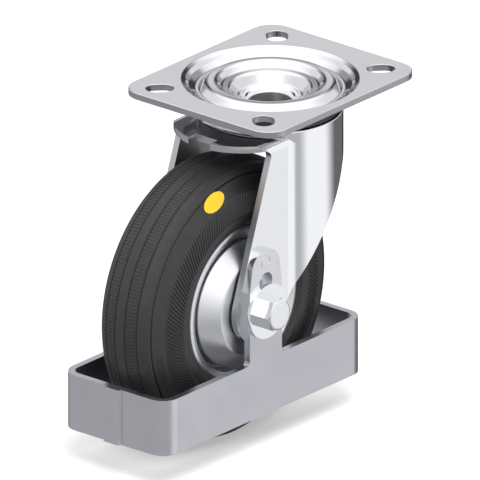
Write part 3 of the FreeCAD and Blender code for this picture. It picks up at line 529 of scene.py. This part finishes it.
def slot_outline(side_x, side_y, inset, steps=14):
    """One slanting slot, widened by the inset, since metal drawn in makes a hole larger."""
    radius = SLOT_RADIUS + inset
    outer, inner = (Vector((side_x * x, side_y * y)) for x, y in SLOT_ENDS)
    first = math.atan2(outer.y - inner.y, outer.x - inner.x) - math.pi / 2
    points = []
    for centre, start in ((outer, first), (inner, first + math.pi)):
        for step in range(steps + 1):
            angle = start + math.pi * step / steps
            points.append((centre.x + radius * math.cos(angle), centre.y + radius * math.sin(angle)))
    return points


outlines = [rounded_rectangle]
for side_x in (-1, 1):
    for side_y in (-1, 1):
        outlines.append(lambda inset, x=side_x, y=side_y: slot_outline(x, y, inset))
print("outlines of the plate:", len(outlines))

# %% Rounded edges
EDGE_ROUNDING = 0.3


def edge_levels(steps=3):
    """(inset, height) from the upper face round a sheared edge to the lower face."""
    arc = [math.radians(90 * step / steps) for step in range(steps + 1)]
    upper = [(EDGE_ROUNDING * (1 - math.sin(q)), -EDGE_ROUNDING * (1 - math.cos(q))) for q in arc]
    return upper + [(inset, -PLATE_THICK - height) for inset, height in reversed(upper)]


def wall(mesh, outline):
    """Wall through the edge levels. Gives the loops of the upper and the lower face."""
    loops = []
    for inset, height in edge_levels():
        loops.append(add_loop(mesh, [(x, y, height) for x, y in outline(inset)]))
    for upper, lower in zip(loops, loops[1:]):
        join(mesh, upper, lower)
    return loops[0], loops[-1]


print("levels round a sheared edge:", len(edge_levels()))

# %% Top plate
WELD_GAP = 0.001


def on_swivel(radius, height, angle):
    """Point round the castor's upright axis."""
    return (radius * math.cos(angle), radius * math.sin(angle), height)


def fill_face(mesh, height, loops):
    """Flat face between the ring's edge and the outline, with the slots left open."""
    angles = [2 * math.pi * i / RING_TURNS for i in range(RING_TURNS)]
    ring = add_loop(mesh, [on_swivel(RING_EDGE, height, angle) for angle in angles])
    edges = [mesh.edges.new((ring[i], ring[i - 1])) for i in range(len(ring))]
    for loop in loops:
        edges += [mesh.edges.get((loop[i], loop[i - 1])) for i in range(len(loop))]
    filled = bmesh.ops.triangle_fill(mesh, use_beauty=True, edges=edges)
    for part in filled["geom"]:
        part.tag = True


def plate_mesh():
    mesh = bmesh.new()
    walls = [wall(mesh, outline) for outline in outlines]
    fill_face(mesh, 0.0, [upper for upper, lower in walls])
    fill_face(mesh, -PLATE_THICK, [lower for upper, lower in walls])
    carry_round(mesh, ring_section, RING_TURNS, on_swivel)
    bmesh.ops.remove_doubles(mesh, verts=mesh.verts, dist=WELD_GAP * MM)
    return mesh


plate = new_piece("pressed_plate", plate_mesh(), zinc_plate)
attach(plate, "mount")
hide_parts("top_plate")

# %% [markdown]
# ## Flared rivet
# The rivet's head is flared over the well's floor, with a fine double bend at the top of its bore. A
# cylinder with a bevel would give one bend only, so this is a section carried round, as the ring is.
# Its foot is where the CAD's rivet ends.

# %% Flared rivet
RIVET_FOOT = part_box("king_rivet")[0].z / MM
RIVET_TURNS = 96
HEAD_TOP, FOOT_THICK = -7.2, 1.6
HEAD_RADIUS, FOOT_RADIUS, SHANK_RADIUS = 13.2, 14.8, 11.5
FOOT_TOP = RIVET_FOOT + FOOT_THICK
RIVET_SECTION = [(HEAD_RADIUS, WELL_FLOOR, 0), (HEAD_RADIUS, HEAD_TOP, 0.5), (11.9, HEAD_TOP, 0.7),
                 (10.9, -8.2, 0.5), (9.9, -8.5, 0.4), (9.0, -9.9, 0.6), (9.3, RIVET_FOOT, 0.4),
                 (FOOT_RADIUS, RIVET_FOOT, 0.4), (FOOT_RADIUS, FOOT_TOP, 0),
                 (SHANK_RADIUS, FOOT_TOP, 0), (SHANK_RADIUS, WELL_FLOOR, 0)]
rivet_mesh = bmesh.new()
carry_round(rivet_mesh, bend(RIVET_SECTION), RIVET_TURNS, on_swivel)
rivet = new_piece("flared_rivet", rivet_mesh, zinc_rivet)
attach(rivet, "mount")
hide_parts("king_rivet")

# %% [markdown]
# ## Tyre
# The tyre's section follows the CAD's, with a deeper groove round each wall. The mould adds what
# makes rubber read as a tyre: rows of fine blocks between the tread grooves, slanting ribs on both
# walls, and a few fine rings where the wall is bare. A bump map could draw them, but they would
# vanish on the outline. So they are small solids that stand in the tyre, made by loops. The blocks
# stay below the CAD's tread. The ribs stand about half a millimetre above the wall, far from the
# fork's legs.

# %% Tread and wall
TREAD_TOP, TREAD_DROP, TREAD_EDGE = 62.5, 2.2, 11.4
TREAD_CROWN = (TREAD_EDGE ** 2 + TREAD_DROP ** 2) / (2 * TREAD_DROP)
SHOULDER, SHOULDER_PLACE = 58.6, 12.9
BULGE, BULGE_PLACE = 47.5, 17.2
BEAD, BEAD_RISE, BEAD_CURVE = 39.6, 1.55, 0.52


def tread(place):
    """Radius of the tread at a distance from the middle plane."""
    return TREAD_TOP - TREAD_CROWN + math.sqrt(TREAD_CROWN ** 2 - place ** 2)


def wall_place(radius):
    """Distance of the sidewall from the middle plane: straight, then swelling down to the bead."""
    if radius > BULGE:
        slope = (BULGE_PLACE - SHOULDER_PLACE) / (SHOULDER - BULGE)
        return SHOULDER_PLACE + (SHOULDER - radius) * slope
    share = (BULGE - radius) / (BULGE - BEAD)
    return BULGE_PLACE + BEAD_RISE * ((1 + BEAD_CURVE) * share - BEAD_CURVE * share ** 2)


print("tread crown radius in millimetres:", round(TREAD_CROWN, 1))

# %% Tyre section
ROW_DEPTH = 0.2
CROWN_PLACES, ROW_PLACES, RIDGE_PLACE = (0, 1.2), (3.12, 4.3, 5.5, 6.8, 7.93), 9.8
GROOVES, GROOVE_NEAR, GROOVE_FAR, GROOVE_DEPTH = (2.7, 8.4), 0.45, 0.4, 0.6
WALL_GROOVE, WALL_GROOVE_HALF, WALL_GROOVE_DEPTH = 57.2, 0.45, 1.0
WALL_RADII = (54, 51, 49, BULGE, 46, 44.5, 43, 41.5, 40.4)
SEAT = [(BEAD, 18.75, 0.6), (37.6, 18.35, 0.5), (36.03, 17.2, 0), (33.63, 15.0, 0)]


def on_tread(place, depth=0.0):
    """Corner on the tread, or below it by a depth."""
    return (tread(place) - depth, place, 0)


def on_wall(radius, depth=0.0):
    """Corner on the sidewall, or inside it by a depth."""
    return (radius, wall_place(radius) - depth, 0)


def half_section():
    """(radius, place, bend) corners from the middle of the tread down to the seat."""
    line = [on_tread(place) for place in CROWN_PLACES]
    for groove in GROOVES:
        line += [on_tread(groove - GROOVE_NEAR), on_tread(groove, GROOVE_DEPTH),
                 on_tread(groove + GROOVE_FAR)]
        if groove == GROOVES[0]:
            line += [on_tread(place, ROW_DEPTH) for place in ROW_PLACES]
    line += [on_tread(RIDGE_PLACE), (tread(TREAD_EDGE), TREAD_EDGE, 0.7), (SHOULDER, SHOULDER_PLACE, 1.6)]
    line += [on_wall(WALL_GROOVE + WALL_GROOVE_HALF), on_wall(WALL_GROOVE, WALL_GROOVE_DEPTH),
             on_wall(WALL_GROOVE - WALL_GROOVE_HALF)]
    return line + [on_wall(radius) for radius in WALL_RADII] + SEAT


def tyre_section():
    half = [tuple(point) for point in bend(half_section(), steps=4)]
    return half + [(radius, -place) for radius, place in reversed(half[1:])]


print("points in the tyre's section:", len(tyre_section()))

# %% Tread blocks
WHEEL_X, WHEEL_Z = -38.0, -87.5
BLOCKS, BLOCK_FILL, BLOCK_ROOT = 240, 0.74, 0.3
ROW_LOW, ROW_HIGH = 3.1, 8.0


def on_wheel(radius, place, angle):
    """Point round the axle."""
    return (WHEEL_X + radius * math.cos(angle), place, WHEEL_Z + radius * math.sin(angle))


def strip(mesh, loops):
    """Solid through loops of the same count, closed at both ends."""
    rings = [add_loop(mesh, [on_wheel(*point) for point in loop]) for loop in loops]
    for here, there in zip(rings, rings[1:]):
        join(mesh, here, there)
    mesh.faces.new(rings[0])
    mesh.faces.new(tuple(reversed(rings[-1])))


def tread_block(mesh, start, stop, side):
    """One block between two angles. It follows the tread's crown across its row."""
    loops = []
    for place in (ROW_LOW, (ROW_LOW + ROW_HIGH) / 2, ROW_HIGH):
        top, foot = tread(place), tread(place) - ROW_DEPTH - BLOCK_ROOT
        corners = ((foot, start), (top, start), (top, stop), (foot, stop))
        loops.append([(radius, side * place, angle) for radius, angle in corners])
    strip(mesh, loops)


print("tread block length in millimetres:", round(2 * math.pi * TREAD_TOP / BLOCKS * BLOCK_FILL, 2))

# %% Wall ribs and fine rings
WALL_RIBS, RIB_FILL, RIB_CREST = 168, 0.9, 0.4
RIB_LOW, RIB_HIGH, RIB_STEPS = 41.2, 51.0, 8
RIB_SLANT, RIB_MIDDLE = 0.75, 46.0
RIB_HEIGHT, RIB_ROOT = 0.55, 0.3
FINE_RADII, FINE_ARCS = (52.9, 53.8, 54.7, 55.6), ((76, 98), (188, 206))
FINE_HALF, FINE_HEIGHT, FINE_ROOT = 0.22, 0.25, 0.2
FINE_STEPS, FINE_TAPER = 24, 6


def wall_rib(mesh, angle, side):
    """Slanting rib up the wall, wide at its root, narrow at its crest and low at both ends."""
    half = math.pi / WALL_RIBS * RIB_FILL
    crest = half * RIB_CREST
    loops = []
    for step in range(RIB_STEPS + 1):
        radius = RIB_LOW + (RIB_HIGH - RIB_LOW) * step / RIB_STEPS
        middle = angle + RIB_SLANT * (radius - RIB_LOW) / RIB_MIDDLE * side
        root = side * (wall_place(radius) - RIB_ROOT)
        top = side * (wall_place(radius) + RIB_HEIGHT * min(1.0, step, RIB_STEPS - step))
        loops.append([(radius, root, middle - half), (radius, top, middle - crest),
                      (radius, top, middle + crest), (radius, root, middle + half)])
    strip(mesh, loops)


def fine_ring(mesh, radius, first, last, side):
    """Part of a ring on the wall between two angles in degrees, low at both ends."""
    root = side * (wall_place(radius) - FINE_ROOT)
    loops = []
    for step in range(FINE_STEPS + 1):
        angle = math.radians(first + (last - first) * step / FINE_STEPS)
        taper = min(1.0, FINE_TAPER * step / FINE_STEPS, FINE_TAPER * (FINE_STEPS - step) / FINE_STEPS)
        top = side * (wall_place(radius) + FINE_HEIGHT * taper)
        loops.append([(radius - FINE_HALF, root, angle), (radius, top, angle),
                      (radius + FINE_HALF, root, angle)])
    strip(mesh, loops)


print("wall rib spacing in millimetres:", round(2 * math.pi * RIB_MIDDLE / WALL_RIBS, 2))

# %% Moulded tyre
TYRE_TURNS = 360


def tyre_mesh():
    mesh = bmesh.new()
    carry_round(mesh, tyre_section(), TYRE_TURNS, on_wheel)
    step = 2 * math.pi / BLOCKS
    for side in (-1, 1):
        for i in range(BLOCKS):
            tread_block(mesh, i * step, (i + BLOCK_FILL) * step, side)
        for i in range(WALL_RIBS):
            wall_rib(mesh, 2 * math.pi * i / WALL_RIBS, side)
        for radius in FINE_RADII:
            for first, last in FINE_ARCS:
                fine_ring(mesh, radius, first, last, side)
    return mesh


tyre = new_piece("moulded_tyre", tyre_mesh(), rubber)
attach(tyre, "wheel")
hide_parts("tyre")

# %% [markdown]
# ## Rim halves
# Each half is pressed with a rolled lip, a narrow groove and a cone that ends in a flat hub face. The
# CAD's half has plainer bends, and a bevel can't deepen its groove. So each is a section carried
# round the axle. Points held close to each bend keep the cone straight under smooth shading.

# %% Rim halves
RIM_TURNS, RIM_HOLD = 144, 0.1
RIM_SECTION = [(33.6, 0, 0), (33.6, 15.0, 0.5), (35.8, 16.8, 0.4), (33.6, 17.2, 1.2),
               (30.6, 15.4, 0.4), (30.2, 8.6, 0.5), (28.6, 8.6, 0.4), (28.2, 15.1, 0.9),
               (21.2, 22.4, 1.6), (17.03, 22.4, 0), (17.03, 20.2, 0), (20.3, 20.2, 0.8),
               (26.0, 14.4, 0.5), (26.0, 6.6, 0.5), (31.4, 6.6, 0.5), (31.4, 0, 0)]


def rim(name, side, node):
    """One rim half, on the side of the wheel that side gives as -1 or 1."""
    mesh = bmesh.new()
    section = [(radius, side * place) for radius, place in bend(RIM_SECTION, steps=4, hold=RIM_HOLD)]
    carry_round(mesh, section, RIM_TURNS, on_wheel)
    piece = new_piece(name, mesh, zinc_rim)
    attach(piece, "wheel")
    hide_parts(node)


rim("pressed_rim_near", -1, "rim_near")
rim("pressed_rim_far", 1, "rim_far")

# %% [markdown]
# ## Stamped ring
# A small plain ring is stamped into the guard's near lug, above its hole. It could be a bump in the
# guard's finish, but a thin ring of metal keeps its edge in close views.

# %% Stamped ring
MARK_X, MARK_Z = -37.5, -65.2
MARK_INSIDE, MARK_OUTSIDE, MARK_TURNS = 2.3, 3.2, 32
LUG_FACE, MARK_FACE, MARK_BEND = -29.0, -29.45, 0.1
MARK_SECTION = [(MARK_INSIDE, LUG_FACE, 0), (MARK_INSIDE, MARK_FACE, MARK_BEND),
                (MARK_OUTSIDE, MARK_FACE, MARK_BEND), (MARK_OUTSIDE, LUG_FACE, 0)]


def on_lug(radius, place, angle):
    """Point round the mark's middle."""
    return (MARK_X + radius * math.cos(angle), place, MARK_Z + radius * math.sin(angle))


mark_mesh = bmesh.new()
carry_round(mark_mesh, bend(MARK_SECTION, steps=2), MARK_TURNS, on_lug)
mark = new_piece("stamped_ring", mark_mesh, zinc_satin)
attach(mark, "swivel")

# %% [markdown]
# ## Floor
# A catalogue picture has a white ground. A brighter lamp would make the floor white, but the castor
# too pale. So the floor's own colour does it: rays from the camera see some glow, and mirror rays
# pass through to the room's lower half, which is what plating over a pale table would show.

# %% Floor
FLOOR_GLOW = 0.35
FLOOR_REACH = 4000
FLOOR_CORNERS = [(-1, -1), (1, -1), (1, 1), (-1, 1)]


def floor_finish():
    """White floor that keeps the shadow. Mirror rays pass through it."""
    material = new_material("floor_white", (0.8, 0.8, 0.8), NOT_METAL, roughness=0.9)
    tree = material.node_tree
    shader = shader_of(tree)
    shader.inputs["Emission Strength"].default_value = FLOOR_GLOW
    rays = tree.nodes.new("ShaderNodeLightPath")
    tree.links.new(rays.outputs["Is Camera Ray"], shader.inputs["Emission Color"])
    clear = tree.nodes.new("ShaderNodeBsdfTransparent")
    mix = tree.nodes.new("ShaderNodeMixShader")
    tree.links.new(rays.outputs["Is Glossy Ray"], mix.inputs["Fac"])
    tree.links.new(shader.outputs["BSDF"], mix.inputs[1])
    tree.links.new(clear.outputs["BSDF"], mix.inputs[2])
    tree.links.new(mix.outputs["Shader"], tree.nodes["Material Output"].inputs["Surface"])
    return material


floor_mesh = bpy.data.meshes.new("floor")
floor_places = [(x * FLOOR_REACH * MM, y * FLOOR_REACH * MM, cad_low.z) for x, y in FLOOR_CORNERS]
floor_mesh.from_pydata(floor_places, [], [(0, 1, 2, 3)])
floor = bpy.data.objects.new("floor", floor_mesh)
bpy.context.collection.objects.link(floor)
floor.data.materials.append(floor_finish())
print("floor height in millimetres:", round(cad_low.z / MM, 1))

# %% [markdown]
# ## The room that the plating mirrors
# Plating is a mirror, so what it mirrors matters more than the light on it. A photo studio has white
# walls and dark screens round the part. They could be large planes here too, but planes block light
# and show in other views. So the room is worked out from the direction alone, as azimuth and
# elevation in degrees. It is white above and grey towards the ground. Each screen is a few smooth
# steps that pull the light towards a level of its own.

# %% Directions in the room
world = bpy.data.worlds.new("studio")
bpy.context.scene.world = world
world.use_nodes = True
room = world.node_tree
direction = axis_parts(room, "Generated")
azimuth = combine(room, "DEGREES", combine(room, "ARCTAN2", direction["Y"], direction["X"]))
elevation = combine(room, "DEGREES", combine(room, "ARCSINE", direction["Z"]))


def smooth_step(value, start, stop, low, high):
    """A value that goes smoothly from low to high between start and stop."""
    result = spread(room, value, low, high, start, stop)
    result.node.interpolation_type = "SMOOTHSTEP"
    return result


def screen(centre, half_width, low, high, soft):
    """1 inside a screen of the room, 0 outside, with soft edges. All in degrees."""
    turn = combine(room, "WRAP", combine(room, "SUBTRACT", azimuth, centre), 180.0, -180.0)
    away = combine(room, "ABSOLUTE", turn)
    across = smooth_step(away, half_width - soft / 2, half_width + soft / 2, 1, 0)
    above = smooth_step(elevation, low - soft / 2, low + soft / 2, 0, 1)
    below = smooth_step(elevation, high - soft / 2, high + soft / 2, 1, 0)
    return combine(room, "MULTIPLY", across, combine(room, "MULTIPLY", above, below))


def shade_with(light, mask, level):
    """The room's light pulled towards a level where the mask is 1."""
    keep = combine(room, "MULTIPLY", light, combine(room, "SUBTRACT", 1.0, mask))
    return combine(room, "ADD", keep, combine(room, "MULTIPLY", mask, level))


print("nodes for the directions:", len(room.nodes))

# %% Walls and screens
# Lowest and highest elevation of each change, and the light at each of them.
HORIZON = (-24, 12, 0.50, 1.05)
DARK_GROUND = (-80, -45, 0.5, 1.0)
BRIGHT_CEILING = (30, 60, 1.0, 1.55)
# Middle azimuth, half width, lowest and highest elevation and softness of each, and its level.
SCREENS = {
    "bright wall on the viewer's side": ((-140, 48, 12, 85, 14), 1.6),
    "pale wall on the right": ((-61, 25, -32, 30, 20), 1.06),
    "grey screen behind the castor": ((40, 38, -70, 36, 9), 0.45),
    "grey screen's dark foot": ((40, 38, -70, 4, 6), 0.15),
    "dark low screen on its right": ((-4, 20, -70, -6, 16), 0.15),
    "grey screen's black right post": ((21, 6, -30, 30, 5), 0.06),
    "grey screen's black left post": ((59, 6, -30, 30, 5), 0.06),
    "grey screen's bright gap": ((40, 5, 17, 26, 4), 0.88),
}
light = smooth_step(elevation, *HORIZON)
for change in (DARK_GROUND, BRIGHT_CEILING):
    light = combine(room, "MULTIPLY", light, smooth_step(elevation, *change))
for place, level in SCREENS.values():
    light = shade_with(light, screen(*place), level)
print("walls and screens:", ", ".join(SCREENS))

# %% Light from the room
ROOM_FILL = 0.75
rays = room.nodes.new("ShaderNodeLightPath")
mirrored = rays.outputs["Is Glossy Ray"]
fill = combine(room, "MULTIPLY", combine(room, "SUBTRACT", 1.0, mirrored), ROOM_FILL)
strength = combine(room, "ADD", combine(room, "MULTIPLY", light, mirrored), fill)
strength = combine(room, "MAXIMUM", strength, rays.outputs["Is Camera Ray"])
background = room.nodes["Background"]
background.inputs["Color"].default_value = (1, 1, 1, 1)
room.links.new(strength, background.inputs["Strength"])
print("even light from the room:", ROOM_FILL)

# %% [markdown]
# ## Lamp
# One big soft lamp, high on the viewer's side, gives the castor its soft shadow. A small lamp or a
# sun would draw a hard one. The plating doesn't mirror it, because the room's bright wall already
# gives that highlight, with a softer edge.

# %% Lamp
LAMP_PLACE, LAMP_TARGET = Vector((-300, -400, 900)) * MM, Vector((0, 0, -80)) * MM
LAMP_WIDTH, LAMP_WATTS = 700, 9
lamp_light = bpy.data.lights.new("lamp_high", "AREA")
lamp_light.shape = "RECTANGLE"
lamp_light.size = LAMP_WIDTH * MM
lamp_light.size_y = LAMP_WIDTH * MM
lamp_light.energy = LAMP_WATTS
lamp = bpy.data.objects.new("lamp_high", lamp_light)
lamp.location = LAMP_PLACE
lamp.rotation_euler = (LAMP_TARGET - LAMP_PLACE).to_track_quat("-Z", "Y").to_euler()
lamp.visible_glossy = False
bpy.context.collection.objects.link(lamp)
print("lamp distance in millimetres:", round((LAMP_TARGET - LAMP_PLACE).length / MM))

# %% [markdown]
# ## Camera
# The photograph keeps parallel edges parallel, so it was taken from far off or drawn flat. A long
# lens would come close, and an orthographic camera does it exactly. It looks down a little, from the
# side that the wheel trails to.

# %% Camera
VIEW_AZIMUTH = math.radians(-50)
VIEW_ELEVATION = math.radians(22)
PICTURE_WIDTH = 204.9
AIM = Vector((-28.1, -6.7, -64.0)) * MM
CAMERA_DISTANCE = 1000
back = Vector((math.sin(VIEW_AZIMUTH) * math.cos(VIEW_ELEVATION),
               -math.cos(VIEW_AZIMUTH) * math.cos(VIEW_ELEVATION), math.sin(VIEW_ELEVATION)))
lens = bpy.data.cameras.new("camera")
lens.type = "ORTHO"
lens.ortho_scale = PICTURE_WIDTH * MM
camera = bpy.data.objects.new("camera", lens)
camera.location = AIM + back * CAMERA_DISTANCE * MM
camera.rotation_euler = (-back).to_track_quat("-Z", "Y").to_euler()
bpy.context.collection.objects.link(camera)
bpy.context.scene.camera = camera
bpy.context.scene.view_settings.view_transform = "Standard"
print("picture width in millimetres:", PICTURE_WIDTH)
